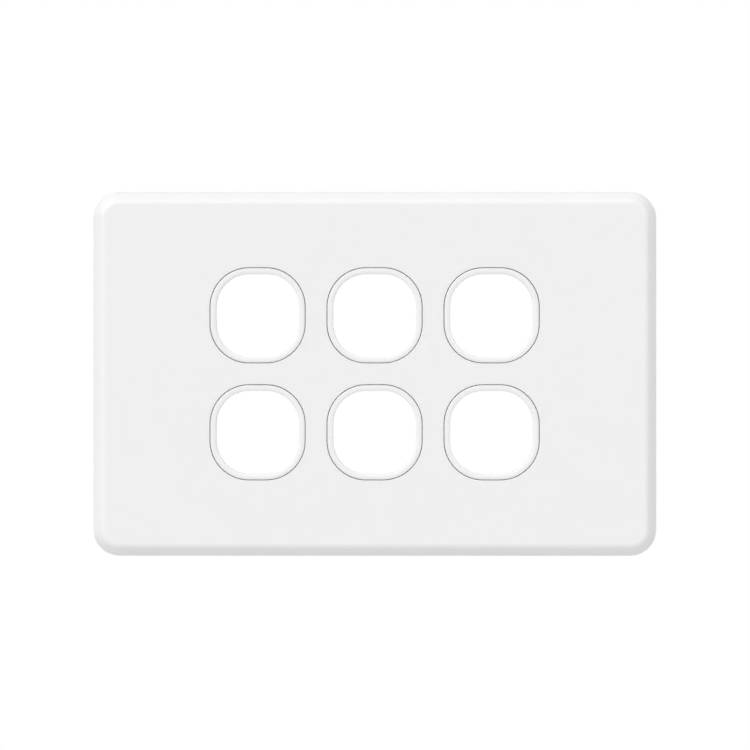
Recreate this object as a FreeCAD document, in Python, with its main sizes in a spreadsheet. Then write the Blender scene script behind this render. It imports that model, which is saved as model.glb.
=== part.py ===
"""Six gang grid switch plate: a clip-on cover plate over a moulded grid frame, with two fixing screws.

Millimetres. The plate hangs on a wall in its own frame: X runs to the right and Z upwards as it is
looked at, and Y runs into the wall. The origin is the middle of the wall plane behind the plate, so
the plate's face is at Y = -plate_depth, and what reaches into the wall box has a positive Y.
Heights in the expressions below are measured forwards from the wall plane, against Y.
"""

import FreeCAD
import Part
import Sketcher
import math
import os

doc = FreeCAD.newDocument("GridSwitchPlate")


# The driving dimensions, in millimetres and degrees

SIZES = [
    # the cover plate
    ("end_margin", 16.0, "from a fixing screw out to the plate's short side"),
    ("side_margin", 13.5, "from the bays out to the plate's long side"),
    ("plate_depth", 9.0, "height of the cover's face above the wall"),
    ("corner_radius", 5.5, "outside corner at the rear edge"),
    ("side_draft", 2.0, "lean of the sides, in degrees"),
    ("shoulder_width", 1.8, "sloping shoulder, in across the face"),
    ("shoulder_depth", 2.2, "sloping shoulder, down the sides"),
    ("shoulder_radius", 4.0, "rounding between the sides and the shoulder"),
    ("face_edge_radius", 1.5, "rounding between the shoulder and the face"),
    ("face_thickness", 2.0, "cover face"),
    ("cover_wall", 1.8, "cover side walls"),
    ("wall_clearance", 0.3, "gap from the cover's rear edge to the wall"),
    ("least_radius", 0.3, "sharpest corner that a leaning wall may run into"),
    # the grid of openings
    ("bay_pitch", 24.0, "centre to centre, both ways"),
    ("bay_columns", 3, "openings side by side"),
    ("bay_rows", 2, "openings one above the other"),
    ("opening_size", 17.0, "clear opening in a collar"),
    ("opening_radius", 6.75, "corner of the clear opening"),
    ("collar_wall", 1.15, "collar round each opening"),
    ("collar_gap", 0.2, "clearance between a collar and the cover"),
    ("collar_proud", 0.3, "how far a collar stands out of the face"),
    ("collar_outer_bevel", 0.25, "collar's outer lip"),
    ("collar_inner_bevel", 0.5, "collar's inner lip"),
    # the grid frame
    ("frame_gap", 0.4, "clearance between the frame's rim and the cover's walls"),
    ("rim_wall", 1.6, "frame's rim"),
    ("seat_lip", 0.5, "lip of the rim that the cover's face seats on"),
    ("web_thickness", 2.0, "frame's web"),
    ("rib_thickness", 1.2, "stiffening ribs"),
    # the bays that hold the switch mechanisms
    ("bay_size", 20.4, "clear square behind the web"),
    ("bay_wall", 1.2, "sleeve and spring finger wall"),
    ("sleeve_length", 5.5, "sleeve, from the web backwards"),
    ("finger_length", 10.0, "spring finger, from the web backwards"),
    ("finger_width", 8.0, "spring finger"),
    ("slit_width", 1.0, "slit on each side of a finger"),
    ("catch_depth", 8.0, "from the web to the catch of a finger"),
    ("catch_reach", 0.8, "how far a catch stands into the bay"),
    # the hooks that hold the cover on
    ("hook_count", 2, "hooks along each long side"),
    ("hook_pitch", 60.0, "hook to hook"),
    ("hook_width", 14.0, "along the side"),
    ("hook_height", 0.9, "from the cover's rear edge forwards"),
    ("hook_lead", 0.4, "slope that rides over the frame's rim"),
    ("hook_bite", 0.9, "how far a hook reaches in from the foot of the rim"),
    ("hook_clearance", 0.15, "round a hook, in the frame's notch"),
    # the fixing screws and their seats
    ("screw_margin", 6.0, "from the bays out to a fixing screw"),
    ("screw_diameter", 3.5, "outside the thread"),
    ("screw_length", 30.0, "under the head"),
    ("neck_diameter", 2.9, "plain neck that the washer runs on"),
    ("neck_play", 0.4, "neck behind the washer, before the thread"),
    ("head_diameter", 7.0, "pan head"),
    ("head_height", 2.4, "pan head"),
    ("head_bevel", 0.9, "bevel round the top of the pan head"),
    ("driver_slot_width", 1.0, "slot in the head"),
    ("driver_slot_depth", 1.2, "slot in the head"),
    ("tip_chamfer", 0.6, "end of the shank"),
    ("head_clearance", 0.4, "round the head, in its seat"),
    ("head_sink", 0.3, "from the web's front down to the head"),
    ("slot_width", 4.0, "fixing slot"),
    ("slot_travel", 2.4, "fixing slot, centre to centre of its ends"),
    ("seat_floor", 1.8, "under the head"),
    ("boss_wall", 1.2, "round the head's seat"),
    ("washer_diameter", 8.0, "retaining washer"),
    ("washer_thickness", 0.8, "retaining washer"),
    ("washer_clearance", 0.05, "between the washer and the neck"),
]

sheet = doc.addObject("Spreadsheet::Sheet", "Sizes")
for row, (alias, value, meaning) in enumerate(SIZES, start=1):
    sheet.set(f"A{row}", alias)
    sheet.set(f"B{row}", str(value))
    sheet.set(f"C{row}", meaning)
    sheet.setAlias(f"B{row}", alias)
doc.recompute()


# Heights and sizes that follow from the driving dimensions

TAN_DRAFT = "tan(Sizes.side_draft)"
BAYS_EDGE = "(Sizes.bay_columns * Sizes.bay_pitch / 2)"
BAYS_TOP = "(Sizes.bay_rows * Sizes.bay_pitch / 2)"
SCREW_X = f"({BAYS_EDGE} + Sizes.screw_margin)"
PLATE_WIDTH = f"(2 * ({SCREW_X} + Sizes.end_margin))"
PLATE_HEIGHT = f"(2 * ({BAYS_TOP} + Sizes.side_margin))"
SEAT = "(Sizes.plate_depth - Sizes.face_thickness)"
WEB_FRONT = f"({SEAT} - Sizes.seat_lip)"
WEB_REAR = f"({WEB_FRONT} - Sizes.web_thickness)"
COLLAR_TOP = "(Sizes.plate_depth + Sizes.collar_proud)"
COLLAR_SIZE = "(Sizes.opening_size + 2 * Sizes.collar_wall)"
COLLAR_RADIUS = "(Sizes.opening_radius + Sizes.collar_wall)"
COVER_INNER_WIDTH = f"({PLATE_WIDTH} - 2 * Sizes.cover_wall)"
COVER_INNER_HEIGHT = f"({PLATE_HEIGHT} - 2 * Sizes.cover_wall)"
FRAME_WIDTH = f"({COVER_INNER_WIDTH} - 2 * Sizes.frame_gap)"
FRAME_HEIGHT = f"({COVER_INNER_HEIGHT} - 2 * Sizes.frame_gap)"
FIRST_BAY_X = "(-Sizes.bay_pitch * (Sizes.bay_columns - 1) / 2)"
FIRST_BAY_Z = "(-Sizes.bay_pitch * (Sizes.bay_rows - 1) / 2)"
HOOK_TOP = "(Sizes.wall_clearance + Sizes.hook_height)"
HOOK_TIP = f"({FRAME_HEIGHT} / 2 - Sizes.hook_bite)"
HEAD_SEAT = f"({WEB_FRONT} - Sizes.head_sink - Sizes.head_height)"
BOSS_REAR = f"({HEAD_SEAT} - Sizes.seat_floor)"
HEAD_SPACE = "(Sizes.head_diameter + 2 * Sizes.head_clearance)"


def drafted_radius(radius, height):
    """A corner radius that stays open where the walls lean in over a height."""
    return f"max({radius}; {height} * {TAN_DRAFT} + Sizes.least_radius)"


# Sketches, fully constrained, each dimension bound to an expression

def evaluate(owner, expression):
    """The value of an expression, as a plain number."""
    value = owner.evalExpression(expression)
    return float(getattr(value, "Value", value))


def new_body(name):
    body = doc.addObject("PartDesign::Body", name)
    body.Label = name
    return body


def origin_feature(body, role):
    return next(f for f in body.Origin.OriginFeatures if f.Role == role)


def new_sketch(body, name, plane, along_normal="0", along_x="0"):
    """A sketch on a plane of the body's origin, moved along the plane's normal and its own x."""
    sketch = body.newObject("Sketcher::SketchObject", name)
    sketch.AttachmentSupport = [(origin_feature(body, plane), "")]
    sketch.MapMode = "FlatFace"
    sketch.setExpression("AttachmentOffset.Base.z", along_normal)
    sketch.setExpression("AttachmentOffset.Base.x", along_x)
    return sketch


def wall_sketch(body, name, height="0"):
    """A sketch parallel to the wall: its x is X, its y is Z, and it is raised towards the viewer."""
    return new_sketch(body, name, "XZ_Plane", height)


def bound(sketch, expression, kind, *references):
    """A dimension whose value comes from an expression."""
    index = sketch.addConstraint(Sketcher.Constraint(kind, *references, evaluate(sketch, expression)))
    sketch.setExpression(f"Constraints[{index}]", expression)


def place(sketch, item, end, x, y):
    """Fixes one point of a line, arc or circle at (x, y), measured from the sketch's origin."""
    for expression, kind, axis in ((x, "DistanceX", -2), (y, "DistanceY", -1)):
        value = evaluate(sketch, expression)
        if abs(value) < 1e-9:
            sketch.addConstraint(Sketcher.Constraint("PointOnObject", item, end, axis))
        elif value > 0:
            bound(sketch, expression, kind, -1, 1, item, end)
        else:
            bound(sketch, f"-({expression})", kind, item, end, -1, 1)


def polygon(sketch, corners):
    """A closed outline through corners given as pairs of expressions."""
    points = [FreeCAD.Vector(evaluate(sketch, x), evaluate(sketch, y), 0) for x, y in corners]
    count = len(points)
    lines = sketch.addGeometry(
        [Part.LineSegment(points[i], points[(i + 1) % count]) for i in range(count)], False
    )
    for i, line in enumerate(lines):
        sketch.addConstraint(Sketcher.Constraint("Coincident", line, 2, lines[(i + 1) % count], 1))
        place(sketch, line, 1, *corners[i])


def rectangle(sketch, width, height, x="0", y="0"):
    left, right = f"{x} - {width} / 2", f"{x} + {width} / 2"
    bottom, top = f"{y} - {height} / 2", f"{y} + {height} / 2"
    polygon(sketch, [(left, bottom), (right, bottom), (right, top), (left, top)])


def circle(sketch, diameter, x="0", y="0"):
    centre = FreeCAD.Vector(evaluate(sketch, x), evaluate(sketch, y), 0)
    radius = evaluate(sketch, diameter) / 2
    item = sketch.addGeometry(Part.Circle(centre, FreeCAD.Vector(0, 0, 1), radius), False)
    bound(sketch, diameter, "Diameter", item)
    place(sketch, item, 3, x, y)


def arc(sketch, centre, radius, start, sweep):
    item = Part.ArcOfCircle(Part.Circle(centre, FreeCAD.Vector(0, 0, 1), radius), start, start + sweep)
    return sketch.addGeometry(item, False)


def line(sketch, start, end):
    return sketch.addGeometry(Part.LineSegment(start, end), False)


def smooth_loop(sketch, items):
    """Joins each item's end to the next one's start, tangent to it."""
    for item, following in zip(items, items[1:] + items[:1]):
        sketch.addConstraint(Sketcher.Constraint("Tangent", item, 2, following, 1))


def rounded_rectangle(sketch, width, height, radius, x="0", y="0"):
    """Four sides and four equal corner arcs, centred on (x, y)."""
    w, h, r, cx, cy = (evaluate(sketch, e) for e in (width, height, radius, x, y))
    flat_x, flat_y = w / 2 - r, h / 2 - r
    centre = FreeCAD.Vector(cx, cy, 0)
    loop = []
    for turn, (dx, dy) in enumerate(((0, -1), (1, 0), (0, 1), (-1, 0))):
        middle = centre + FreeCAD.Vector(dx * w / 2, dy * h / 2, 0)
        half = FreeCAD.Vector(-dy * flat_x, dx * flat_y, 0)
        loop.append(line(sketch, middle - half, middle + half))
        corner = centre + FreeCAD.Vector((dx - dy) * flat_x, (dx + dy) * flat_y, 0)
        loop.append(arc(sketch, corner, r, (turn - 1) * math.pi / 2, math.pi / 2))
    smooth_loop(sketch, loop)
    bottom, right, top, left = loop[0::2]
    for level, sides in (("Horizontal", (bottom, top)), ("Vertical", (left, right))):
        for side in sides:
            sketch.addConstraint(Sketcher.Constraint(level, side))
    for corner in loop[3::2]:
        sketch.addConstraint(Sketcher.Constraint("Equal", loop[1], corner))
    bound(sketch, radius, "Radius", loop[1])
    place(sketch, bottom, 1, f"{x} - {width} / 2 + {radius}", f"{y} - {height} / 2")
    place(sketch, top, 1, f"{x} + {width} / 2 - {radius}", f"{y} + {height} / 2")


def obround(sketch, width, travel, x, upright):
    """A slot with round ends, centred on (x, 0), whose long way is Z if upright and X if not."""
    r, half = evaluate(sketch, width) / 2, evaluate(sketch, travel) / 2
    centre = FreeCAD.Vector(evaluate(sketch, x), 0, 0)
    along = FreeCAD.Vector(0, 1, 0) if upright else FreeCAD.Vector(1, 0, 0)
    across = FreeCAD.Vector(-along.y, along.x, 0)
    far, near = centre + along * half, centre - along * half
    first = 0.0 if upright else -math.pi / 2
    loop = [
        line(sketch, near - across * r, far - across * r),
        arc(sketch, far, r, first, math.pi),
        line(sketch, far + across * r, near + across * r),
        arc(sketch, near, r, first + math.pi, math.pi),
    ]
    smooth_loop(sketch, loop)
    head, foot = loop[1], loop[3]
    sketch.addConstraint(Sketcher.Constraint("Equal", head, foot))
    bound(sketch, f"{width} / 2", "Radius", head)
    if upright:
        place(sketch, head, 3, x, f"{travel} / 2")
        place(sketch, foot, 3, x, f"-{travel} / 2")
    else:
        place(sketch, head, 3, f"{x} + {travel} / 2", "0")
        place(sketch, foot, 3, f"{x} - {travel} / 2", "0")


# Features

LEVEL = 1e-4  # how far from level an edge may lie


def extrude(body, kind, name, sketch, length, taper, reverse, symmetric):
    item = body.newObject(f"PartDesign::{kind}", name)
    item.Profile = sketch
    item.setExpression("Length", length)
    item.setExpression("TaperAngle", taper)
    item.Reversed = reverse
    if symmetric:
        item.SideType = "Symmetric"
    doc.recompute()
    return item


def pad_forwards(body, name, sketch, length, taper="0"):
    return extrude(body, "Pad", name, sketch, length, taper, reverse=False, symmetric=False)


def pad_backwards(body, name, sketch, length):
    return extrude(body, "Pad", name, sketch, length, "0", reverse=True, symmetric=False)


def pad_both_ways(body, name, sketch, length):
    return extrude(body, "Pad", name, sketch, length, "0", reverse=False, symmetric=True)


def pocket(body, name, sketch, length, taper, reverse):
    """A cut, which has to take material away."""
    before = body.Shape.Volume
    item = extrude(body, "Pocket", name, sketch, length, taper, reverse, symmetric=False)
    if body.Shape.Volume > before - 1e-6:
        raise RuntimeError(f"{name} cuts nothing")
    return item


def cut_forwards(body, name, sketch, length, taper="0"):
    return pocket(body, name, sketch, length, taper, reverse=True)


def cut_backwards(body, name, sketch, length):
    return pocket(body, name, sketch, length, "0", reverse=False)


def pattern(body, name, originals, steps):
    """Copies of features along one or two axes, each step being (axis, spacing, count)."""
    item = body.newObject("PartDesign::LinearPattern", name)
    item.Originals = originals
    for suffix, (axis, spacing, count) in zip(("", "2"), steps):
        setattr(item, f"Direction{suffix}", (origin_feature(body, axis), [""]))
        setattr(item, f"Mode{suffix}", "Extent")
        item.setExpression(f"Length{suffix}", f"{spacing} * ({count} - 1)")
        item.setExpression(f"Occurrences{suffix}", count)
    body.Tip = item
    doc.recompute()
    return item


def bay_pattern(body, name, originals):
    """Copies of the bottom left bay's features to all the bays."""
    steps = [
        ("X_Axis", "Sizes.bay_pitch", "Sizes.bay_columns"),
        ("Z_Axis", "Sizes.bay_pitch", "Sizes.bay_rows"),
    ]
    return pattern(body, name, originals, steps)


def dress(body, kind, name, dimension, value, chosen):
    """A fillet or chamfer on the edges of the body's tip for which chosen(edge) is true."""
    base = body.Tip
    names = [f"Edge{i}" for i, edge in enumerate(base.Shape.Edges, start=1) if chosen(edge)]
    if not names:
        raise RuntimeError(f"{name} finds no edge")
    item = body.newObject(f"PartDesign::{kind}", name)
    item.Base = (base, names)
    item.setExpression(dimension, value)
    doc.recompute()
    return item


def fillet(body, name, radius, chosen):
    return dress(body, "Fillet", name, "Radius", radius, chosen)


def chamfer(body, name, size, chosen):
    return dress(body, "Chamfer", name, "Size", size, chosen)


def sloping_chamfer(body, name, down, across, chosen):
    """A chamfer round the front of a block, of one size down its sides and another across its front."""
    item = chamfer(body, name, down, chosen)
    item.ChamferType = "Two distances"
    item.setExpression("Size2", across)
    doc.recompute()
    return item


def lies_at(edge, height):
    """Whether an edge lies wholly at one height above the wall."""
    low, high = -edge.BoundBox.YMax, -edge.BoundBox.YMin
    return max(abs(low - height), abs(high - height)) < LEVEL


def lies_between(edge, lowest, highest):
    """Whether an edge lies wholly at one height, clear of two others."""
    low, high = -edge.BoundBox.YMax, -edge.BoundBox.YMin
    return high - low < LEVEL and lowest + LEVEL < low < highest - LEVEL


# Cover plate: a moulded shell with a sloping shoulder, a window for each collar, and hooks at its rear

cover = new_body("cover_plate")
cover_skirt = "(Sizes.plate_depth - Sizes.wall_clearance)"
cover_hollow = f"({SEAT} - Sizes.wall_clearance)"
cover_radius = drafted_radius("Sizes.corner_radius", cover_skirt)
hollow_radius = drafted_radius("(Sizes.corner_radius - Sizes.cover_wall)", cover_hollow)
window_size = f"({COLLAR_SIZE} + 2 * Sizes.collar_gap)"
window_radius = f"({COLLAR_RADIUS} + Sizes.collar_gap)"

sketch = wall_sketch(cover, "cover_outline", "Sizes.wall_clearance")
rounded_rectangle(sketch, PLATE_WIDTH, PLATE_HEIGHT, cover_radius)
pad_forwards(cover, "cover_block", sketch, cover_skirt, taper="-Sizes.side_draft")
cover_rear = evaluate(sheet, "wall_clearance")
cover_face = evaluate(sheet, "plate_depth")


def round_face(edge):
    return lies_at(edge, cover_face)


def round_sides(edge):
    return lies_between(edge, cover_rear, cover_face)


sloping_chamfer(cover, "shoulder", "Sizes.shoulder_depth", "Sizes.shoulder_width", round_face)
fillet(cover, "shoulder_edge", "Sizes.shoulder_radius", round_sides)
fillet(cover, "face_edge", "Sizes.face_edge_radius", round_face)

sketch = wall_sketch(cover, "hollow_outline", "Sizes.wall_clearance")
rounded_rectangle(sketch, COVER_INNER_WIDTH, COVER_INNER_HEIGHT, hollow_radius)
cut_forwards(cover, "hollow", sketch, cover_hollow, taper="-Sizes.side_draft")

sketch = wall_sketch(cover, "window_outline")
rounded_rectangle(sketch, window_size, window_size, window_radius, FIRST_BAY_X, FIRST_BAY_Z)
window = cut_forwards(cover, "window", sketch, "Sizes.plate_depth")
bay_pattern(cover, "windows", [window])

sketch = new_sketch(cover, "hook_profile", "YZ_Plane", "-Sizes.hook_pitch * (Sizes.hook_count - 1) / 2")
for side in ("", "-"):
    hook_root = f"{side}({COVER_INNER_HEIGHT} + Sizes.cover_wall) / 2"
    hook_lead = f"{side}({HOOK_TIP} + Sizes.hook_lead)"
    polygon(sketch, [
        ("-Sizes.wall_clearance", hook_root),
        ("-Sizes.wall_clearance", hook_lead),
        ("-(Sizes.wall_clearance + Sizes.hook_lead)", f"{side}{HOOK_TIP}"),
        (f"-{HOOK_TOP}", f"{side}{HOOK_TIP}"),
        (f"-{HOOK_TOP}", hook_root),
    ])
hook = pad_both_ways(cover, "hook", sketch, "Sizes.hook_width")
pattern(cover, "hooks", [hook], [("X_Axis", "Sizes.hook_pitch", "Sizes.hook_count")])


# Grid frame: a moulded tray with a web across its front, which the cover clips onto

frame = new_body("grid_frame")
frame_radius = drafted_radius("(Sizes.corner_radius - Sizes.cover_wall - Sizes.frame_gap)", SEAT)
tray_radius = drafted_radius(f"({frame_radius} - Sizes.rim_wall)", WEB_REAR)
lip_width = f"({FRAME_WIDTH} - 2 * {SEAT} * {TAN_DRAFT} - 2 * Sizes.rim_wall)"
lip_height = f"({FRAME_HEIGHT} - 2 * {SEAT} * {TAN_DRAFT} - 2 * Sizes.rim_wall)"

sketch = wall_sketch(frame, "frame_outline")
rounded_rectangle(sketch, FRAME_WIDTH, FRAME_HEIGHT, frame_radius)
pad_forwards(frame, "frame_block", sketch, SEAT, taper="-Sizes.side_draft")

sketch = wall_sketch(frame, "lip_outline", SEAT)
rounded_rectangle(sketch, lip_width, lip_height, "Sizes.least_radius")
cut_backwards(frame, "seat_lip", sketch, "Sizes.seat_lip")

sketch = wall_sketch(frame, "tray_outline")
tray_width = f"({FRAME_WIDTH} - 2 * Sizes.rim_wall)"
tray_height = f"({FRAME_HEIGHT} - 2 * Sizes.rim_wall)"
rounded_rectangle(sketch, tray_width, tray_height, tray_radius)
cut_forwards(frame, "tray", sketch, WEB_REAR, taper="-Sizes.side_draft")

# Stiffening ribs behind the web, upright beside the bays and through the bosses, and level at the ends

rib_depth = f"({WEB_REAR} - {BOSS_REAR})"
rib_end_x = f"({FRAME_WIDTH} / 2 - {WEB_REAR} * {TAN_DRAFT} - Sizes.rim_wall / 4)"
rib_end_z = f"({FRAME_HEIGHT} / 2 - {WEB_REAR} * {TAN_DRAFT} - Sizes.rim_wall / 4)"

sketch = wall_sketch(frame, "bay_rib_outline", WEB_REAR)
rectangle(sketch, "Sizes.rib_thickness", f"(2 * {rib_end_z})", f"-{BAYS_EDGE}")
bay_rib = pad_backwards(frame, "bay_rib", sketch, rib_depth)
pattern(frame, "bay_ribs", [bay_rib], [("X_Axis", "Sizes.bay_pitch", "(Sizes.bay_columns + 1)")])

sketch = wall_sketch(frame, "boss_rib_outline", WEB_REAR)
for side in ("", "-"):
    rectangle(sketch, "Sizes.rib_thickness", f"(2 * {rib_end_z})", f"{side}{SCREW_X}")
pad_backwards(frame, "boss_ribs", sketch, rib_depth)

sketch = wall_sketch(frame, "level_rib_outline", WEB_REAR)
for side in ("", "-"):
    middle_x = f"{side}({rib_end_x} + {BAYS_EDGE}) / 2"
    rectangle(sketch, f"({rib_end_x} - {BAYS_EDGE})", "Sizes.rib_thickness", middle_x, f"-{BAYS_TOP}")
level_rib = pad_backwards(frame, "level_rib", sketch, rib_depth)
level_steps = [("Z_Axis", "Sizes.bay_pitch / 2", "(2 * Sizes.bay_rows + 1)")]
pattern(frame, "level_ribs", [level_rib], level_steps)

# Fixing slots, one along X and one along Z, each with a sunk seat and a boss behind it

def both_slots(name, height, width):
    """A sketch of the left slot, lying, and the right slot, upright, at a given width."""
    slots = wall_sketch(frame, name, height)
    obround(slots, width, "Sizes.slot_travel", f"-{SCREW_X}", upright=False)
    obround(slots, width, "Sizes.slot_travel", SCREW_X, upright=True)
    return slots


boss_outline = both_slots("boss_outline", WEB_REAR, f"({HEAD_SPACE} + 2 * Sizes.boss_wall)")
pad_backwards(frame, "bosses", boss_outline, rib_depth)
seat_outline = both_slots("seat_outline", WEB_FRONT, HEAD_SPACE)
cut_backwards(frame, "head_seats", seat_outline, f"{WEB_FRONT} - {HEAD_SEAT}")
slot_outline = both_slots("slot_outline", HEAD_SEAT, "Sizes.slot_width")
cut_backwards(frame, "fixing_slots", slot_outline, "Sizes.seat_floor")

# Notches in the foot of the long rims, which the cover's hooks snap into

sketch = wall_sketch(frame, "notch_outline")
notch_reach = "(Sizes.hook_bite + Sizes.hook_clearance)"
notch_width = "(Sizes.hook_width + 2 * Sizes.hook_clearance)"
notch_x = "(-Sizes.hook_pitch * (Sizes.hook_count - 1) / 2)"
for side in ("", "-"):
    notch_z = f"{side}({FRAME_HEIGHT} / 2)"
    rectangle(sketch, notch_width, f"(2 * {notch_reach})", notch_x, notch_z)
notch = cut_forwards(frame, "notch", sketch, f"{HOOK_TOP} + Sizes.hook_clearance")
pattern(frame, "notches", [notch], [("X_Axis", "Sizes.hook_pitch", "Sizes.hook_count")])

# Bays: a collar and an opening in front of the web, and behind it a split sleeve and two spring fingers

sketch = wall_sketch(frame, "collar_outline", WEB_FRONT)
rounded_rectangle(sketch, COLLAR_SIZE, COLLAR_SIZE, COLLAR_RADIUS, FIRST_BAY_X, FIRST_BAY_Z)
collar = pad_forwards(frame, "collar", sketch, f"{COLLAR_TOP} - {WEB_FRONT}")

sketch = wall_sketch(frame, "opening_outline", WEB_REAR)
opening = ("Sizes.opening_size", "Sizes.opening_size", "Sizes.opening_radius")
rounded_rectangle(sketch, *opening, FIRST_BAY_X, FIRST_BAY_Z)
opening_cut = cut_forwards(frame, "opening", sketch, f"{COLLAR_TOP} - {WEB_REAR}")

bay_inside = "(Sizes.bay_size / 2)"
bay_outside = "(Sizes.bay_size / 2 + Sizes.bay_wall)"
sleeve_end = "(Sizes.finger_width / 2 + Sizes.slit_width)"
sketch = wall_sketch(frame, "sleeve_outline", WEB_REAR)
for side in ("-", "+"):
    end_x = f"{FIRST_BAY_X} {side} {sleeve_end}"
    outside_x = f"{FIRST_BAY_X} {side} {bay_outside}"
    inside_x = f"{FIRST_BAY_X} {side} {bay_inside}"
    top_z, inner_top_z = f"{FIRST_BAY_Z} + {bay_outside}", f"{FIRST_BAY_Z} + {bay_inside}"
    foot_z, inner_foot_z = f"{FIRST_BAY_Z} - {bay_outside}", f"{FIRST_BAY_Z} - {bay_inside}"
    polygon(sketch, [
        (end_x, top_z),
        (outside_x, top_z),
        (outside_x, foot_z),
        (end_x, foot_z),
        (end_x, inner_foot_z),
        (inside_x, inner_foot_z),
        (inside_x, inner_top_z),
        (end_x, inner_top_z),
    ])
sleeve = pad_backwards(frame, "sleeve", sketch, "Sizes.sleeve_length")

wall_middle = "(Sizes.bay_size + Sizes.bay_wall) / 2"
sketch = wall_sketch(frame, "finger_outline", WEB_REAR)
for side in ("-", "+"):
    finger_z = f"{FIRST_BAY_Z} {side} {wall_middle}"
    rectangle(sketch, "Sizes.finger_width", "Sizes.bay_wall", FIRST_BAY_X, finger_z)
fingers = pad_backwards(frame, "fingers", sketch, "Sizes.finger_length")

sketch = new_sketch(frame, "catch_profile", "YZ_Plane", FIRST_BAY_X)
catch_face = f"(Sizes.catch_depth - {WEB_REAR})"
finger_tip = f"(Sizes.finger_length - {WEB_REAR})"
for side in ("-", "+"):
    root = f"{FIRST_BAY_Z} {side} {wall_middle}"
    crest = f"{FIRST_BAY_Z} {side} ({bay_inside} - Sizes.catch_reach)"
    inner_face = f"{FIRST_BAY_Z} {side} {bay_inside}"
    polygon(sketch, [
        (catch_face, root),
        (catch_face, crest),
        (finger_tip, inner_face),
        (finger_tip, root),
    ])
catches = pad_both_ways(frame, "catches", sketch, "Sizes.finger_width")

bay_pattern(frame, "bays", [collar, opening_cut, sleeve, fingers, catches])

collar_height = evaluate(frame, COLLAR_TOP)
lip_middle = evaluate(frame, "(Sizes.opening_size + Sizes.collar_wall) / 2")
bay_centres = [
    (
        evaluate(frame, f"{FIRST_BAY_X} + {column} * Sizes.bay_pitch"),
        evaluate(frame, f"{FIRST_BAY_Z} + {row} * Sizes.bay_pitch"),
    )
    for column in range(round(evaluate(frame, "Sizes.bay_columns")))
    for row in range(round(evaluate(frame, "Sizes.bay_rows")))
]


def lip_reach(edge):
    """How far an edge of a collar's front starts from the middle of its bay."""
    point = edge.Vertexes[0].Point
    return min(max(abs(point.x - x), abs(point.z - z)) for x, z in bay_centres)


def on_outer_lip(edge):
    return lies_at(edge, collar_height) and lip_reach(edge) > lip_middle


def on_inner_lip(edge):
    return lies_at(edge, collar_height) and lip_reach(edge) < lip_middle


chamfer(frame, "collar_outer_lips", "Sizes.collar_outer_bevel", on_outer_lip)
chamfer(frame, "collar_inner_lips", "Sizes.collar_inner_bevel", on_inner_lip)


# The fixing screws and their washers: one of each is made on the right and mirrored to the left

def mirrored_pair(name, body):
    """The body and its mirror image on the other side of the plate, as two solids of one part."""
    twin = doc.addObject("Part::Mirroring", f"{name}_twin")
    twin.Source = body
    twin.Normal = FreeCAD.Vector(1, 0, 0)
    pair = doc.addObject("Part::Compound", name)
    pair.Label = name
    pair.Links = [body, twin]
    doc.recompute()
    return pair


# Fixing screw: a turned pan head with a driver slot, a plain neck, and a shank of the thread's diameter

screw = new_body("fixing_screw")
head_top = f"({HEAD_SEAT} + Sizes.head_height)"
neck_end = f"({BOSS_REAR} - Sizes.washer_thickness - Sizes.neck_play)"
shank_end = f"(Sizes.screw_length - {HEAD_SEAT})"

sketch = new_sketch(screw, "screw_profile", "XY_Plane", along_x=SCREW_X)
polygon(sketch, [
    ("0", f"-{head_top}"),
    ("Sizes.head_diameter / 2", f"-{head_top}"),
    ("Sizes.head_diameter / 2", f"-{HEAD_SEAT}"),
    ("Sizes.neck_diameter / 2", f"-{HEAD_SEAT}"),
    ("Sizes.neck_diameter / 2", f"-{neck_end}"),
    ("Sizes.screw_diameter / 2", f"-{neck_end}"),
    ("Sizes.screw_diameter / 2", f"{shank_end} - Sizes.tip_chamfer"),
    ("Sizes.screw_diameter / 2 - Sizes.tip_chamfer", shank_end),
    ("0", shank_end),
])
turned = screw.newObject("PartDesign::Revolution", "turned_screw")
turned.Profile = sketch
turned.ReferenceAxis = (sketch, ["V_Axis"])
doc.recompute()

top_height = evaluate(screw, head_top)
chamfer(screw, "head_bevel", "Sizes.head_bevel", lambda edge: lies_at(edge, top_height))

sketch = wall_sketch(screw, "driver_slot_outline", head_top)
rectangle(sketch, "(1.5 * Sizes.head_diameter)", "Sizes.driver_slot_width", SCREW_X)
cut_backwards(screw, "driver_slot", sketch, "Sizes.driver_slot_depth")
screws = mirrored_pair("mounting_screws", screw)

# Retaining washer: a thin ring on the screw's neck, which the thread can't pass

washer = new_body("retaining_washer")
sketch = wall_sketch(washer, "washer_outline", BOSS_REAR)
circle(sketch, "Sizes.washer_diameter", SCREW_X)
circle(sketch, "(Sizes.neck_diameter + 2 * Sizes.washer_clearance)", SCREW_X)
pad_backwards(washer, "washer_ring", sketch, "Sizes.washer_thickness")
washers = mirrored_pair("retaining_washers", washer)


# Checks and export

doc.recompute()
for item in doc.Objects:
    if "Invalid" in item.State or "Error" in item.State:
        raise RuntimeError(f"{item.Name} did not recompute: {item.State}")

parts = [cover, frame, screws, washers]
for part in parts:
    expected = 2 if part in (screws, washers) else 1
    if part.Shape.isNull() or not part.Shape.isValid() or len(part.Shape.Solids) != expected:
        raise RuntimeError(f"{part.Label} does not have the valid solids that it should")

os.makedirs("parts", exist_ok=True)
for part in parts:
    part.Shape.exportStep(f"parts/{part.Label}.step")
    print(part.Label, round(part.Shape.Volume, 1))
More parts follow.
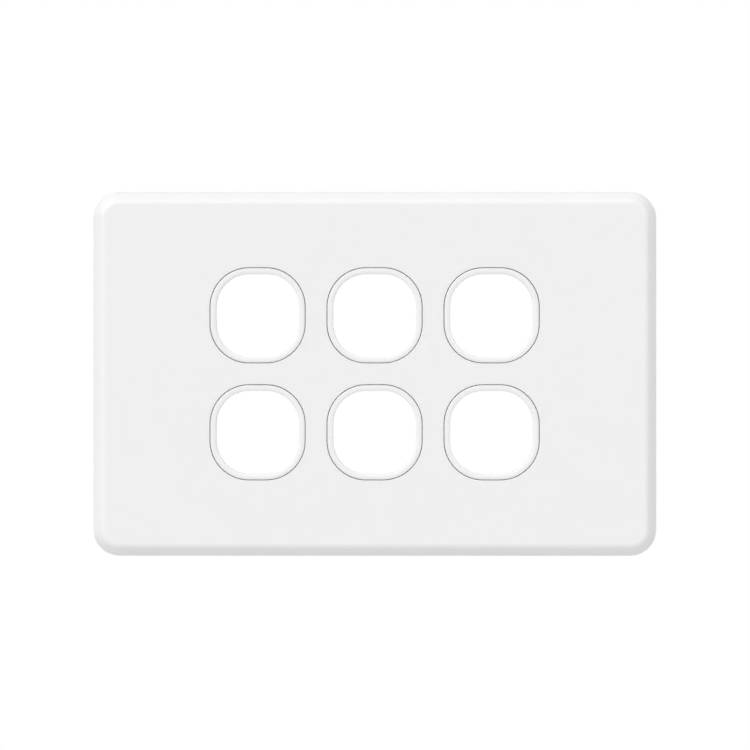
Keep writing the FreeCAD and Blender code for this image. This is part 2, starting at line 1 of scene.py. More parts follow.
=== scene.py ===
import math
import bmesh
import bpy
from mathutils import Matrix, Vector


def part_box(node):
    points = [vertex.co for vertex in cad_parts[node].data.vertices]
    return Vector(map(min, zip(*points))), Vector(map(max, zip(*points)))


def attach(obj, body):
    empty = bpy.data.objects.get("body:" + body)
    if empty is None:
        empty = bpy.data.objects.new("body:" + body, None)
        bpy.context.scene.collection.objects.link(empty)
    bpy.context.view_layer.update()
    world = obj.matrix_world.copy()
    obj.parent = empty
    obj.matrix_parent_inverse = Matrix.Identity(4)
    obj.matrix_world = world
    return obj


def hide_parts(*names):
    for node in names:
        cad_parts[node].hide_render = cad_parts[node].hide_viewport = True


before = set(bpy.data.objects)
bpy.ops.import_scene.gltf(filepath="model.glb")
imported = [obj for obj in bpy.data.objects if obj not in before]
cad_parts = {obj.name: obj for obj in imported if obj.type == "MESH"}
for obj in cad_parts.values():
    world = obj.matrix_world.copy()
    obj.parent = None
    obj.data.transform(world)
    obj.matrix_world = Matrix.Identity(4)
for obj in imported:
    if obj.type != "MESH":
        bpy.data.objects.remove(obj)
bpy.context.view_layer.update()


# Cover plate: the white front of the switch plate, injection moulded in polycarbonate with steep sides,
# a sloping shoulder and a window for each of the grid frame's collars. Four hooks inside its long sides
# clip it over the frame, so no screw shows.

mm = 0.001
cover_low, cover_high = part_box("cover_plate")
plate_width = cover_high.x - cover_low.x
plate_height = cover_high.z - cover_low.z
plate_depth = -cover_low.y
wall_clearance = -cover_high.y
side_lean = math.radians(2)
corner_radius = 5.5 * mm
shoulder_width = 1.8 * mm
shoulder_depth = 2.2 * mm
shoulder_radius = 4 * mm
face_edge_radius = 1.5 * mm
cover_wall = 1.8 * mm
face_thickness = 2 * mm
face_rear = plate_depth - face_thickness
hollow_edge_radius = 0.35 * mm
rear_edge_radius = 0.15 * mm
bay_pitch = 24 * mm
bay_columns, bay_rows = 3, 2
first_bay_x = -bay_pitch * (bay_columns - 1) / 2
first_bay_z = -bay_pitch * (bay_rows - 1) / 2
collar_size = 19.4 * mm
collar_radius = 7.95 * mm
collar_gap = 0.128 * mm
window_size = collar_size + 2 * collar_gap
window_radius = collar_radius + collar_gap
window_edge_radius = 0.14 * mm
frame_gap = 0.4 * mm
frame_height = plate_height - 2 * (cover_wall + frame_gap)
hook_pitch = 60 * mm
hook_width = 14 * mm
hook_height = 0.9 * mm
hook_lead = 0.4 * mm
hook_reach = 0.9 * mm
hook_tip = frame_height / 2 - hook_reach

# How far a cutter goes past a face, the hair between faces that mustn't share a plane, how closely a place
# is met, and how far a chord may dip inside its arc.
past = 1 * mm
hair = 0.02 * mm
touch = 0.001 * mm
chord_dip = 0.03 * mm


def outline(name, width, height, y, x=0.0, z=0.0):
    """A flat rectangle that faces the viewer, centred on (x, y, z), open in edit mode."""
    bpy.ops.object.select_all(action="DESELECT")
    bpy.ops.mesh.primitive_plane_add(size=1, location=(x, y, z), rotation=(math.pi / 2, 0, 0))
    piece = bpy.context.object
    piece.name = piece.data.name = name
    piece.scale = (width, height, 1)
    bpy.ops.object.transform_apply(location=True, rotation=True, scale=True)
    bpy.ops.object.mode_set(mode="EDIT")
    bpy.ops.mesh.select_all(action="SELECT")
    return piece


def round_corners(radius, segments=16):
    bpy.ops.mesh.bevel(affect="VERTICES", offset=radius, segments=segments)
    bpy.ops.mesh.select_all(action="SELECT")


def raise_block(depth, lean=0.0, shoulder=()):
    """Raises the outline into a closed block, up leaning sides and a stepped shoulder.

    A block of negative depth goes backwards from its outline.
    """
    bpy.ops.mesh.select_mode(type="FACE")
    bpy.ops.mesh.inset(thickness=depth * math.tan(lean), depth=depth)
    for inwards, forwards in shoulder:
        bpy.ops.mesh.inset(thickness=inwards, depth=forwards)
    mesh = bmesh.from_edit_mesh(bpy.context.edit_object.data)
    front = min(vertex.co.y for vertex in mesh.verts)
    bpy.ops.mesh.select_mode(type="EDGE")
    bpy.ops.mesh.select_all(action="DESELECT")
    bpy.ops.mesh.select_non_manifold()
    bpy.ops.mesh.edge_face_add()
    select_edges(lambda a, b: max(a.y, b.y) < front + touch)


def select_edges(chosen):
    """Selects the edges in edit mode for whose two ends chosen(a, b) is true."""
    bpy.ops.mesh.select_mode(type="EDGE")
    bpy.ops.mesh.select_all(action="DESELECT")
    mesh = bmesh.from_edit_mesh(bpy.context.edit_object.data)
    for edge in mesh.edges:
        edge.select_set(chosen(edge.verts[0].co, edge.verts[1].co))
    mesh.select_flush_mode()
    bmesh.update_edit_mesh(bpy.context.edit_object.data)


def select_rear_edges(y):
    select_edges(lambda a, b: min(a.y, b.y) > y - touch)


def round_edges(radius, segments=6, lean=0.0):
    """Rounds the selected edges, where a square corner is opened by a lean."""
    offset = radius * math.tan((math.pi / 2 - lean) / 2)
    bpy.ops.mesh.bevel(affect="EDGES", offset=offset, segments=segments)


def finish_mesh(piece):
    """Points the faces outwards and leaves edit mode."""
    bpy.ops.mesh.select_all(action="SELECT")
    bpy.ops.mesh.normals_make_consistent(inside=False)
    bpy.ops.object.mode_set(mode="OBJECT")
    return piece


def apply_modifier(piece, kind, **settings):
    modifier = piece.modifiers.new(kind.title(), kind)
    for setting, value in settings.items():
        setattr(modifier, setting, value)
    bpy.ops.object.select_all(action="DESELECT")
    bpy.context.view_layer.objects.active = piece
    bpy.ops.object.modifier_apply(modifier=modifier.name)


def repeat(piece, spacing, count):
    """Copies a piece along a spacing vector."""
    apply_modifier(
        piece, "ARRAY", count=count, use_relative_offset=False,
        use_constant_offset=True, constant_offset_displace=spacing,
    )


def at_every_bay(piece):
    repeat(piece, (bay_pitch, 0, 0), bay_columns)
    repeat(piece, (0, 0, bay_pitch), bay_rows)
    return piece


def combine(piece, tool, operation):
    """Cuts a tool away from a piece, or joins it on, and removes the tool."""
    apply_modifier(piece, "BOOLEAN", object=tool, operation=operation, solver="EXACT")
    bpy.data.meshes.remove(tool.data)


def shade(piece):
    """Smooth curves, with the flat faces kept flat."""
    bpy.ops.object.select_all(action="DESELECT")
    piece.select_set(True)
    bpy.context.view_layer.objects.active = piece
    bpy.ops.object.shade_smooth_by_angle(angle=math.radians(25))
    apply_modifier(piece, "WEIGHTED_NORMAL", keep_sharp=True, weight=80)


def block(name, low, high):
    """A closed square block between two corners, in edit mode with everything selected."""
    size = [b - a for a, b in zip(low, high)]
    middle = [(a + b) / 2 for a, b in zip(low, high)]
    bpy.ops.object.select_all(action="DESELECT")
    bpy.ops.mesh.primitive_cube_add(size=1, location=middle)
    piece = bpy.context.object
    piece.name = piece.data.name = name
    piece.scale = size
    bpy.ops.object.transform_apply(location=True, rotation=True, scale=True)
    bpy.ops.object.mode_set(mode="EDIT")
    bpy.ops.mesh.select_all(action="SELECT")
    return piece


def arc_steps(radius, from_slope, to_slope, count):
    """Inward and forward steps along an arc, between two slopes off the face."""
    turns = [from_slope + (to_slope - from_slope) * k / count for k in range(count + 1)]
    return [
        (radius * (math.sin(a) - math.sin(b)), radius * (math.cos(b) - math.cos(a)))
        for a, b in zip(turns, turns[1:])
    ]


side_slope = math.pi / 2 - side_lean
shoulder_slope = math.atan2(shoulder_depth, shoulder_width)
straight = (
    math.hypot(shoulder_width, shoulder_depth)
    - shoulder_radius * math.tan((side_slope - shoulder_slope) / 2)
    - face_edge_radius * math.tan(shoulder_slope / 2)
)
shoulder = [
    *arc_steps(shoulder_radius, side_slope, shoulder_slope, 8),
    (straight * math.cos(shoulder_slope), straight * math.sin(shoulder_slope)),
    *arc_steps(face_edge_radius, shoulder_slope, 0, 10),
]
skirt_depth = plate_depth - wall_clearance - sum(forwards for _, forwards in shoulder)
cover = outline("cover_shell", plate_width, plate_height, -wall_clearance)
round_corners(corner_radius, segments=24)
raise_block(skirt_depth, side_lean, shoulder)
select_rear_edges(-wall_clearance)
round_edges(rear_edge_radius, segments=3)
finish_mesh(cover)

lean_past = past * math.tan(side_lean)
hollow = outline(
    "hollow",
    plate_width - 2 * cover_wall + 2 * lean_past,
    plate_height - 2 * cover_wall + 2 * lean_past,
    past - wall_clearance,
)
round_corners(corner_radius - cover_wall + lean_past, segments=16)
raise_block(face_rear - wall_clearance + past, side_lean)
round_edges(hollow_edge_radius, segments=4, lean=side_lean)
combine(cover, finish_mesh(hollow), "DIFFERENCE")

window = outline("window", window_size, window_size, past - face_rear, first_bay_x, first_bay_z)
round_corners(window_radius, segments=20)
raise_block(plate_depth - face_rear + 2 * past)
combine(cover, at_every_bay(finish_mesh(window)), "DIFFERENCE")

hook = block(
    "hook",
    (-hook_pitch / 2 - hook_width / 2, -wall_clearance - hook_height, hook_tip),
    (-hook_pitch / 2 + hook_width / 2, -wall_clearance - hair, plate_height / 2 - cover_wall / 2),
)
hook_rear = -wall_clearance - hair
select_edges(lambda a, b: min(a.y, b.y) > hook_rear - touch and max(a.z, b.z) < hook_tip + touch)
bpy.ops.mesh.bevel(affect="EDGES", offset=hook_lead, segments=2)
finish_mesh(hook)
repeat(hook, (hook_pitch, 0, 0), 2)
apply_modifier(hook, "MIRROR", use_axis=(False, False, True))
combine(cover, hook, "UNION")

bay_centres = [
    (first_bay_x + column * bay_pitch, first_bay_z + row * bay_pitch)
    for column in range(bay_columns)
    for row in range(bay_rows)
]


def beyond(point, size, radius):
    """How far a point lies outside a rounded square round the nearest bay's middle."""
    x, z = min(bay_centres, key=lambda centre: math.dist(centre, (point.x, point.z)))
    flat = size / 2 - radius
    return math.hypot(max(abs(point.x - x) - flat, 0), max(abs(point.z - z) - flat, 0)) - radius


def on_rim(a, b, size, radius, height):
    """Whether an edge runs round a rounded square at a height, and not across to it."""
    return all(
        abs(point.y + height) < 2 * touch and abs(beyond(point, size, radius)) < chord_dip
        for point in (a, b, (a + b) / 2)
    )


def open_for_edit(piece):
    bpy.ops.object.select_all(action="DESELECT")
    bpy.context.view_layer.objects.active = piece
    bpy.ops.object.mode_set(mode="EDIT")
    bpy.ops.mesh.select_all(action="SELECT")


open_for_edit(cover)
select_edges(lambda a, b: on_rim(a, b, window_size, window_radius, plate_depth))
round_edges(window_edge_radius, segments=4)
finish_mesh(cover)
shade(cover)


def white_polycarbonate(name, colour, roughness):
    """Moulded white plastic: satin from the tool, faint flow clouds and a low orange peel."""
    material = bpy.data.materials.new(name)
    material.use_nodes = True
    nodes, links = material.node_tree.nodes, material.node_tree.links
    shader = nodes["Principled BSDF"]
    shader.inputs["IOR"].default_value = 1.58
    shader.inputs["Subsurface Weight"].default_value = 0.35
    shader.inputs["Subsurface Radius"].default_value = (1.0, 1.0, 1.0)
    shader.inputs["Subsurface Scale"].default_value = 1 * mm
    place = nodes.new("ShaderNodeTexCoord")

    clouds = nodes.new("ShaderNodeTexNoise")
    clouds.inputs["Scale"].default_value = 45.0
    clouds.inputs["Detail"].default_value = 3.0
    links.new(place.outputs["Object"], clouds.inputs["Vector"])
    tint = nodes.new("ShaderNodeMapRange")
    tint.inputs["To Min"].default_value = colour - 0.004
    tint.inputs["To Max"].default_value = colour + 0.004
    links.new(clouds.outputs["Fac"], tint.inputs["Value"])
    links.new(tint.outputs["Result"], shader.inputs["Base Color"])
    gloss = nodes.new("ShaderNodeMapRange")
    gloss.inputs["To Min"].default_value = roughness - 0.03
    gloss.inputs["To Max"].default_value = roughness + 0.03
    links.new(clouds.outputs["Fac"], gloss.inputs["Value"])
    links.new(gloss.outputs["Result"], shader.inputs["Roughness"])

    grain = nodes.new("ShaderNodeTexNoise")
    grain.inputs["Scale"].default_value = 2600.0
    grain.inputs["Detail"].default_value = 2.0
    links.new(place.outputs["Object"], grain.inputs["Vector"])
    bump = nodes.new("ShaderNodeBump")
    bump.inputs["Strength"].default_value = 0.06
    bump.inputs["Distance"].default_value = 0.02 * mm
    links.new(grain.outputs["Fac"], bump.inputs["Height"])
    links.new(bump.outputs["Normal"], shader.inputs["Normal"])
    return material


cover.data.materials.clear()
cover.data.materials.append(white_polycarbonate("cover white", colour=0.87, roughness=0.38))
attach(cover, "root")
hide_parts("cover_plate")


# Grid frame: the moulded tray behind the cover, in the same white. Its six collars stand through the
# cover's windows, with crowned rims, and behind its web are the sleeves and spring fingers that hold
# the switches, the ribs, and the sunk seats of the two fixing screws.

frame_width = plate_width - 2 * (cover_wall + frame_gap)
frame_radius = corner_radius - cover_wall - frame_gap
rim_wall = 1.6 * mm
inner_corner = 0.3 * mm
web_gap = 0.5 * mm
web_thickness = 2 * mm
web_front = face_rear - web_gap
web_rear = web_front - web_thickness
collar_proud = 0.02 * mm
collar_top = plate_depth + collar_proud
opening_size = 17 * mm
opening_radius = 6.75 * mm
collar_rounding = 0.18 * mm
crown_radius = 1.8 * mm
crown_outer_slope = math.radians(12)
crown_inner_slope = math.radians(22)
crown_flat_slope = math.radians(1)
lip_rise = 0.002 * mm
lip_edge = 0.06 * mm
bay_size = 20.4 * mm
bay_wall = 1.2 * mm
sleeve_length = 5.5 * mm
finger_length = 10 * mm
finger_width = 8 * mm
slit_width = 1 * mm
catch_depth = 8 * mm
catch_reach = 0.8 * mm
rib_thickness = 1.2 * mm
boss_rear = 2 * mm
overlap = 0.3 * mm
mould_edge = 0.15 * mm
screw_gap = 6 * mm
screw_x = bay_columns * bay_pitch / 2 + screw_gap
head_seat = 3.8 * mm
head_space = 7.8 * mm
boss_wall = 1.2 * mm
boss_size = head_space + 2 * boss_wall
slot_width = 4 * mm
slot_travel = 2.4 * mm
hook_clearance = 0.15 * mm

grid = outline("grid_frame_moulding", frame_width, frame_height, 0)
round_corners(frame_radius, segments=16)
raise_block(face_rear, side_lean)
round_edges(mould_edge, segments=3, lean=side_lean)
finish_mesh(grid)

lip_lean = 2 * face_rear * math.tan(side_lean)
seat_lip = outline(
    "seat_lip",
    frame_width - lip_lean - 2 * rim_wall,
    frame_height - lip_lean - 2 * rim_wall,
    -web_front,
)
round_corners(inner_corner, segments=4)
raise_block(past)
combine(grid, finish_mesh(seat_lip), "DIFFERENCE")

tray = outline(
    "tray",
    frame_width - 2 * rim_wall + 2 * lean_past,
    frame_height - 2 * rim_wall + 2 * lean_past,
    past,
)
round_corners(frame_radius - rim_wall + lean_past, segments=8)
raise_block(web_rear + past, side_lean)
round_edges(mould_edge, segments=3, lean=side_lean)
combine(grid, finish_mesh(tray), "DIFFERENCE")


def rib(name, rear, low, high):
    """A rib whose rear edges are softened, from the web back to its own height."""
    piece = block(name, (low[0], -web_rear - overlap, low[1]), (high[0], -rear, high[1]))
    select_rear_edges(-rear)
    round_edges(mould_edge, segments=3)
    return finish_mesh(piece)


# The upright ribs end a hair short of the bosses, and the level ribs a little shorter still.
upright_rear = boss_rear + hair
level_rear = boss_rear + 2.5 * hair
rib_half = rib_thickness / 2
rib_end_x = frame_width / 2 - web_rear * math.tan(side_lean) - rim_wall / 4
rib_end_z = frame_height / 2 - web_rear * math.tan(side_lean) - rim_wall / 4
bays_edge = bay_columns * bay_pitch / 2
bays_top = bay_rows * bay_pitch / 2


def upright_ribs(name, x, spacing, count):
    piece = rib(name, upright_rear, (x - rib_half, -rib_end_z), (x + rib_half, rib_end_z))
    repeat(piece, (spacing, 0, 0), count)
    combine(grid, piece, "UNION")


upright_ribs("bay_ribs", -bays_edge, bay_pitch, bay_columns + 1)
upright_ribs("boss_ribs", screw_x, -2 * screw_x, 2)
level_low = (bays_edge, -bays_top - rib_half)
level_ribs = rib("level_ribs", level_rear, level_low, (rib_end_x, -bays_top + rib_half))
repeat(level_ribs, (0, 0, bay_pitch / 2), 2 * bay_rows + 1)
apply_modifier(level_ribs, "MIRROR")
combine(grid, level_ribs, "UNION")


def slot_block(name, x, width, rear, front, upright):
    """A block with round ends, whose long way is Z if it is upright, and X if not."""
    long_way = width + slot_travel
    size = (width, long_way) if upright else (long_way, width)
    piece = outline(name, *size, -rear, x)
    round_corners(width / 2 - hair, segments=16)
    raise_block(front - rear)
    return piece


for slot_x, upright in ((-screw_x, False), (screw_x, True)):
    boss = slot_block("boss", slot_x, boss_size, boss_rear, web_rear + overlap, upright)
    select_rear_edges(-boss_rear)
    round_edges(mould_edge, segments=3)
    combine(grid, finish_mesh(boss), "UNION")
    slot = slot_block("slot", slot_x, slot_width, boss_rear - past, head_seat + past, upright)
    combine(grid, finish_mesh(slot), "DIFFERENCE")
    seat = slot_block("seat", slot_x, head_space, head_seat, web_front + past, upright)
    combine(grid, finish_mesh(seat), "DIFFERENCE")

notch_half = hook_width / 2 + hook_clearance
notch_front = wall_clearance + hook_height + hook_clearance
notch = block(
    "notch",
    (-hook_pitch / 2 - notch_half, -notch_front, hook_tip - hook_clearance),
    (-hook_pitch / 2 + notch_half, past, frame_height / 2 + past),
)
finish_mesh(notch)
repeat(notch, (hook_pitch, 0, 0), 2)
apply_modifier(notch, "MIRROR", use_axis=(False, False, True))
combine(grid, notch, "DIFFERENCE")

crown = [
    *arc_steps(collar_rounding, math.pi / 2, crown_outer_slope, 6),
    *arc_steps(crown_radius, crown_outer_slope, crown_flat_slope, 4),
]
wall_height = collar_top - sum(forwards for _, forwards in crown)
collar = outline("collar", collar_size, collar_size, overlap - web_front, first_bay_x, first_bay_z)
round_corners(collar_radius, segments=20)
raise_block(wall_height - web_front + overlap, shoulder=crown)
combine(grid, at_every_bay(finish_mesh(collar)), "UNION")

# The openings are cut from the front. Their lip starts just above the collars, not in their top face.
lip = [
    (inwards, -forwards)
    for inwards, forwards in reversed(arc_steps(crown_radius, crown_inner_slope, crown_flat_slope, 6))
]
lip_width = sum(inwards for inwards, _ in lip)
lip_front = collar_top + lip_rise
lip_height = lip_front + sum(backwards for _, backwards in lip)
opening_front = opening_size + 2 * lip_width
opening = outline("opening", opening_front, opening_front, -lip_front - past, first_bay_x, first_bay_z)
round_corners(opening_radius + lip_width, segments=20)
raise_block(-past, shoulder=[*lip, (0, web_rear - past - lip_height)])
combine(grid, at_every_bay(finish_mesh(opening)), "DIFFERENCE")

open_for_edit(grid)
select_edges(lambda a, b: on_rim(a, b, opening_size, opening_radius, lip_height))
bpy.ops.mesh.bevel(affect="EDGES", offset=lip_edge, segments=3)
finish_mesh(grid)

bay_inside = bay_size / 2
bay_outside = bay_inside + bay_wall
sleeve_rear = sleeve_length - web_rear
sleeve = block(
    "sleeve",
    (first_bay_x - bay_outside, -web_rear - overlap, first_bay_z - bay_outside),
    (first_bay_x + bay_outside, sleeve_rear, first_bay_z + bay_outside),
)
finish_mesh(sleeve)
bay_space = block(
    "bay_space",
    (first_bay_x - bay_inside, -web_rear - past, first_bay_z - bay_inside),
    (first_bay_x + bay_inside, sleeve_rear + past, first_bay_z + bay_inside),
)
combine(sleeve, finish_mesh(bay_space), "DIFFERENCE")
slit_half = finger_width / 2 + slit_width
slit = block(
    "slit",
    (first_bay_x - slit_half, -web_rear - past, first_bay_z - bay_outside - past),
    (first_bay_x + slit_half, sleeve_rear + past, first_bay_z + bay_outside + past),
)
combine(sleeve, finish_mesh(slit), "DIFFERENCE")
open_for_edit(sleeve)
select_rear_edges(sleeve_rear)
round_edges(mould_edge, segments=3)
combine(grid, at_every_bay(finish_mesh(sleeve)), "UNION")

finger_rear = finger_length - web_rear
finger = block(
    "finger",
    (first_bay_x - finger_width / 2, -web_rear - overlap, first_bay_z + bay_inside),
    (first_bay_x + finger_width / 2, finger_rear, first_bay_z + bay_outside),
)
select_rear_edges(finger_rear)
round_edges(mould_edge, segments=3)
finish_mesh(finger)
catch_face = catch_depth - web_rear
catch_tip = 0.1 * mm
catch = block(
    "catch",
    (first_bay_x - finger_width / 2, catch_face, first_bay_z + bay_inside - catch_reach),
    (first_bay_x + finger_width / 2, finger_rear, first_bay_z + bay_inside + overlap),
)
bay_top_z = first_bay_z + bay_inside
select_edges(lambda a, b: min(a.y, b.y) > finger_rear - touch and max(a.z, b.z) < bay_top_z)
bpy.ops.transform.translate(value=(0, 0, catch_reach - catch_tip))
combine(finger, finish_mesh(catch), "UNION")
at_every_bay(finger)
apply_modifier(finger, "MIRROR", use_axis=(False, False, True))
combine(grid, finger, "UNION")

mark_size = 3.5 * mm
mark_depth = 0.12 * mm
end_mark_x = (screw_x + rib_end_x) / 2


def ejector_mark(x, z):
    """The shallow round print of an ejector pin on the rear of the web."""
    bpy.ops.object.select_all(action="DESELECT")
    bpy.ops.mesh.primitive_cylinder_add(
        vertices=32, radius=mark_size / 2, depth=2 * mark_depth,
        location=(x, -web_rear, z), rotation=(math.pi / 2, 0, 0),
    )
    bpy.ops.object.transform_apply(location=True, rotation=True, scale=True)
    return bpy.context.object


end_marks = ejector_mark(end_mark_x, -bay_pitch * 3 / 4)
repeat(end_marks, (0, 0, bay_pitch / 2), 4)
apply_modifier(end_marks, "MIRROR")
combine(grid, end_marks, "DIFFERENCE")
bay_marks = ejector_mark(first_bay_x, (bays_top + rib_end_z) / 2)
repeat(bay_marks, (bay_pitch, 0, 0), bay_columns)
apply_modifier(bay_marks, "MIRROR", use_axis=(False, False, True))
combine(grid, bay_marks, "DIFFERENCE")

shade(grid)
grid.data.materials.clear()
grid.data.materials.append(white_polycarbonate("frame white", colour=0.87, roughness=0.42))
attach(grid, "root")
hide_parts("grid_frame")


# Fixing screws: two M3.5 pan head machine screws of bright zinc-plated steel, each with a driver slot, a
# plain neck and a rolled thread. They lie sunk in the frame's seats, behind the cover, and reach into
# the wall box.

screw_low, screw_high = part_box("mounting_screws")
head_top = screw_low.y
screw_tip = screw_high.y
head_radius = screw_high.x - screw_x
neck_radius = 1.45 * mm
core_radius = 1.42 * mm
thread_radius = 1.75 * mm
thread_pitch = 0.6 * mm
thread_root = 0.54 * mm
thread_crest = 0.08 * mm
thread_start = -0.8 * mm
thread_sink = 0.06 * mm
tip_chamfer = 0.6 * mm
head_rounding = 1.15 * mm
head_edge = 0.08 * mm
driver_slot_width = 1 * mm
driver_slot_depth = 1.2 * mm


def rod(name, radius, front, rear, vertices=48):
    """A round rod along Y on the origin's axis, in edit mode with everything selected."""
    bpy.ops.object.select_all(action="DESELECT")
    bpy.ops.mesh.primitive_cylinder_add(
        vertices=vertices, radius=radius, depth=rear - front,
        location=(0, (front + rear) / 2, 0), rotation=(math.pi / 2, 0, 0),
    )
    bpy.ops.object.transform_apply(location=True, rotation=True, scale=True)
    piece = bpy.context.object
    piece.name = piece.data.name = name
    bpy.ops.object.mode_set(mode="EDIT")
    bpy.ops.mesh.select_all(action="SELECT")
    return piece


def select_ring(y):
    select_edges(lambda a, b: max(abs(a.y - y), abs(b.y - y)) < touch)


screw = rod("fixing_screw", head_radius, head_top, -head_seat, vertices=64)
select_ring(head_top)
bpy.ops.mesh.bevel(affect="EDGES", offset=head_rounding, segments=8)
select_ring(-head_seat)
bpy.ops.mesh.bevel(affect="EDGES", offset=head_edge, segments=2)
finish_mesh(screw)
driver_slot = block(
    "driver_slot",
    (-2 * head_radius, head_top - past, -driver_slot_width / 2),
    (2 * head_radius, head_top + driver_slot_depth, driver_slot_width / 2),
)
combine(screw, finish_mesh(driver_slot), "DIFFERENCE")
combine(screw, finish_mesh(rod("neck", neck_radius, -head_seat - overlap, thread_start)), "UNION")
core = rod("core", core_radius, thread_start - overlap, screw_tip, vertices=44)
select_ring(screw_tip)
bpy.ops.mesh.bevel(affect="EDGES", offset=tip_chamfer, segments=1)
combine(screw, finish_mesh(core), "UNION")

thread_turns = int((screw_tip - tip_chamfer - thread_start) / thread_pitch) - 1
root_radius = core_radius - thread_sink
thread_middle = ((root_radius + thread_radius) / 2, thread_start + thread_pitch / 2, 0)
bpy.ops.object.select_all(action="DESELECT")
bpy.ops.mesh.primitive_plane_add(size=1, location=thread_middle)
thread = bpy.context.object
thread.scale = (thread_radius - root_radius, thread_root, 1)
bpy.ops.object.transform_apply(location=True, rotation=True, scale=True)
bpy.ops.object.mode_set(mode="EDIT")
select_edges(lambda a, b: min(a.x, b.x) > core_radius)
bpy.ops.transform.resize(value=(1, thread_crest / thread_root, 1))
bpy.ops.mesh.select_all(action="SELECT")
bpy.ops.mesh.delete(type="ONLY_FACE")
bpy.ops.object.mode_set(mode="OBJECT")
apply_modifier(
    thread, "SCREW", axis="Y", angle=2 * math.pi, screw_offset=thread_pitch,
    iterations=thread_turns, steps=24, render_steps=24,
)
open_for_edit(thread)
bpy.ops.mesh.select_all(action="DESELECT")
bpy.ops.mesh.select_non_manifold()
bpy.ops.mesh.fill_holes(sides=4)
combine(screw, finish_mesh(thread), "UNION")


def pair_at_the_seats(piece):
    """Moves a piece from the origin's axis to the right seat, and copies it to the left one."""
    bpy.ops.object.select_all(action="DESELECT")
    piece.select_set(True)
    bpy.context.view_layer.objects.active = piece
    piece.location.x = screw_x
    bpy.ops.object.transform_apply(location=True, rotation=True, scale=True)
    repeat(piece, (-2 * screw_x, 0, 0), 2)


pair_at_the_seats(screw)
shade(screw)


def zinc_plate(name):
    """Bright zinc on steel, with a faint grain from the turning and a slight uneven haze."""
    material = bpy.data.materials.new(name)
    material.use_nodes = True
    nodes, links = material.node_tree.nodes, material.node_tree.links
    shader = nodes["Principled BSDF"]
    shader.inputs["Base Color"].default_value = (0.56, 0.575, 0.6, 1)
    shader.inputs["Metallic"].default_value = 1.0
    place = nodes.new("ShaderNodeTexCoord")
    haze = nodes.new("ShaderNodeTexNoise")
    haze.inputs["Scale"].default_value = 900.0
    haze.inputs["Detail"].default_value = 3.0
    links.new(place.outputs["Object"], haze.inputs["Vector"])
    gloss = nodes.new("ShaderNodeMapRange")
    gloss.inputs["To Min"].default_value = 0.16
    gloss.inputs["To Max"].default_value = 0.32
    links.new(haze.outputs["Fac"], gloss.inputs["Value"])
    links.new(gloss.outputs["Result"], shader.inputs["Roughness"])
    return material


screw.data.materials.clear()
screw.data.materials.append(zinc_plate("zinc"))
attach(screw, "root")
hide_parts("mounting_screws")


# Retaining washers: thin stamped nylon rings on the screws' necks, behind the bosses. The thread can't
# pass them, so the screws stay in their slots while the plate is fitted.

washer_low, washer_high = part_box("retaining_washers")
washer_radius = washer_high.x - screw_x
washer_bore = 1.5 * mm
washer_edge = 0.1 * mm

washer = rod("retaining_washer", washer_radius, washer_low.y, washer_high.y, vertices=64)
select_ring(washer_low.y)
round_edges(washer_edge, segments=3)
select_ring(washer_high.y)
round_edges(washer_edge, segments=3)
finish_mesh(washer)
bore = rod("bore", washer_bore, washer_low.y - past, washer_high.y + past)
combine(washer, finish_mesh(bore), "DIFFERENCE")
pair_at_the_seats(washer)
shade(washer)

nylon = white_polycarbonate("nylon", colour=0.78, roughness=0.5)
nylon.node_tree.nodes["Principled BSDF"].inputs["Subsurface Weight"].default_value = 0.3
washer.data.materials.clear()
washer.data.materials.append(nylon)
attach(washer, "root")
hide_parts("retaining_washers")


# Floor: a pale studio floor, well below the plate, which hangs as it does on its wall.

bpy.ops.object.select_all(action="DESELECT")
bpy.ops.mesh.primitive_plane_add(size=8, location=(0, 0, -0.6))
floor = bpy.context.object
floor.name = "studio_floor"
paint = bpy.data.materials.new("floor white")
paint.use_nodes = True
paint.node_tree.nodes["Principled BSDF"].inputs["Base Color"].default_value = (0.8, 0.8, 0.8, 1)
paint.node_tree.nodes["Principled BSDF"].inputs["Roughness"].default_value = 0.8
floor.data.materials.append(paint)


# Light: a soft key from the upper left, a broad light from above and a fill from the front, in an even
# surround that the camera sees as white.

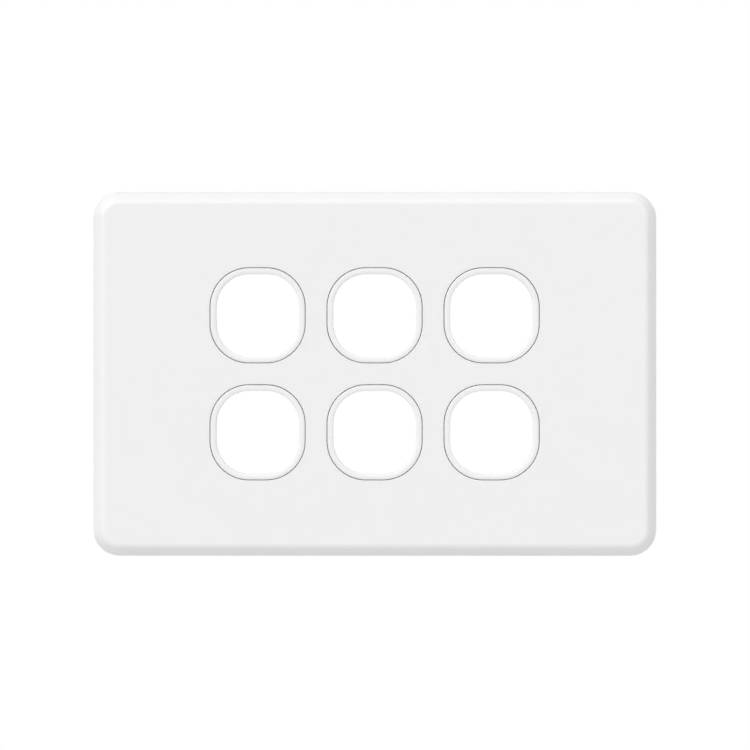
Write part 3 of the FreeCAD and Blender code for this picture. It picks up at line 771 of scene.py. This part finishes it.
world = bpy.data.worlds.new("studio")
world.use_nodes = True
bpy.context.scene.world = world
world_nodes, world_links = world.node_tree.nodes, world.node_tree.links
surround = world_nodes["Background"]
surround.inputs["Color"].default_value = (1, 1, 1, 1)
surround.inputs["Strength"].default_value = 0.54
backdrop = world_nodes.new("ShaderNodeBackground")
backdrop.inputs["Color"].default_value = (1, 1, 1, 1)
backdrop.inputs["Strength"].default_value = 1.0
rays = world_nodes.new("ShaderNodeLightPath")
seen = world_nodes.new("ShaderNodeMath")
seen.operation = "MAXIMUM"
world_links.new(rays.outputs["Is Camera Ray"], seen.inputs[0])
seen_through = world_nodes.new("ShaderNodeMath")
seen_through.operation = "MAXIMUM"
world_links.new(rays.outputs["Is Glossy Ray"], seen_through.inputs[0])
world_links.new(rays.outputs["Is Transmission Ray"], seen_through.inputs[1])
world_links.new(seen_through.outputs[0], seen.inputs[1])
choose = world_nodes.new("ShaderNodeMixShader")
world_links.new(seen.outputs[0], choose.inputs["Fac"])
world_links.new(surround.outputs[0], choose.inputs[1])
world_links.new(backdrop.outputs[0], choose.inputs[2])
world_links.new(choose.outputs[0], world_nodes["World Output"].inputs["Surface"])


def soft_sun(name, towards, strength, spread):
    """A broad soft light that stands towards a direction and shines back from it."""
    bpy.ops.object.light_add(type="SUN")
    lamp = bpy.context.object
    lamp.name = name
    lamp.data.energy = strength
    lamp.data.angle = math.radians(spread)
    lamp.rotation_euler = Vector(towards).to_track_quat("Z", "Y").to_euler()


soft_sun("key", (-0.49, -0.5, 0.65), strength=1.05, spread=60)
soft_sun("top", (0, -0.4, 1), strength=0.28, spread=120)
soft_sun("fill", (0, -1, 0), strength=0.73, spread=120)


# Camera: straight in front of the plate at the photograph's distance, with a long lens.

photo_width = 750
plate_pixels = 562.46
plate_centre_down = 373.9
camera_distance = 1.55
sensor_width = 36
pixel_size = plate_width / plate_pixels
camera_right = 14 * mm
bpy.ops.object.camera_add(rotation=(math.pi / 2, 0, camera_right / camera_distance))
camera = bpy.context.object
camera.location = (camera_right, -camera_distance, (plate_centre_down - photo_width / 2) * pixel_size)
camera.data.sensor_width = sensor_width
camera.data.lens = sensor_width * camera_distance / (photo_width * pixel_size)
camera.data.clip_end = 20
bpy.context.scene.camera = camera
bpy.context.scene.view_settings.view_transform = "Standard"
